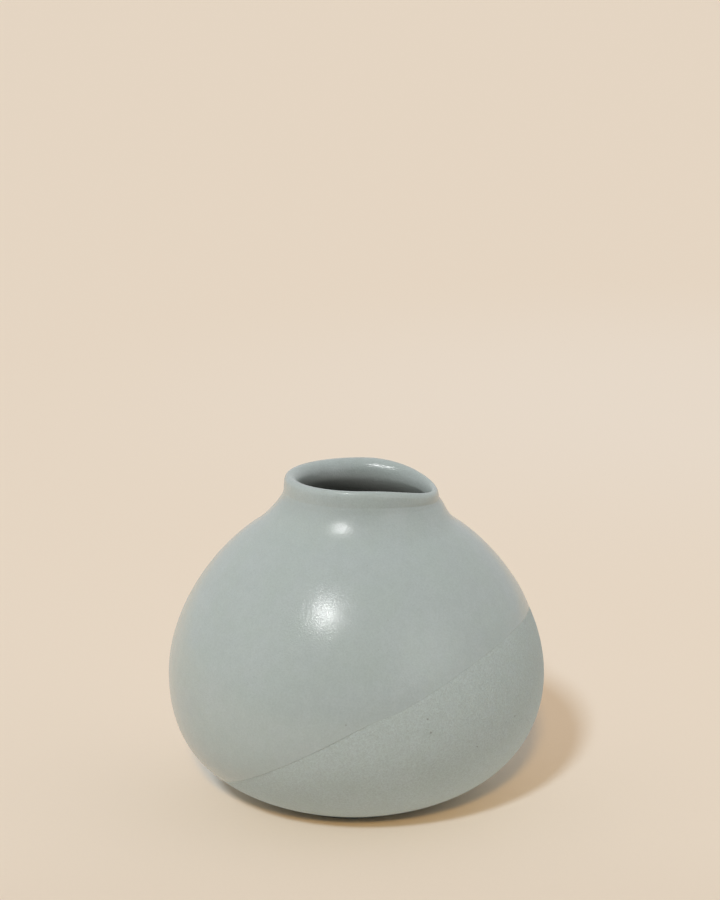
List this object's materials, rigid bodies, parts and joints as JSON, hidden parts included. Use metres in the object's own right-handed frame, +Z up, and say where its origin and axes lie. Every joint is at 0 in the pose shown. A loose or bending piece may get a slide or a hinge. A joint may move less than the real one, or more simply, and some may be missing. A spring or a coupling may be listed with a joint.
{
  "type": "bud vase",
  "caption": "Squat round thrown ceramic bud vase with a short neck, a lip that dips on one side, a slanted satin glaze line and a bare foot ring, for a few short stems.",
  "frame": {"origin": "middle of the vase's footprint, on the surface it stands on", "axes": "+Z up out of the mouth; +X towards the lip's low side, where the glaze line is highest; the picture looks along +Y"},
  "size_m": [0.0946, 0.0948, 0.0838],
  "materials": {
    "clay": "matt bare fired clay, grey-green, faintly grainy",
    "outer_glaze": "satin grey-green glaze with a fine orange-peel ripple",
    "liner_glaze": "satin grey-green glaze"
  },
  "bodies": {
    "root": {"clay_body": "clay", "dip_glaze": "outer_glaze", "liner_glaze": "liner_glaze"}
  },
  "joints": []
}
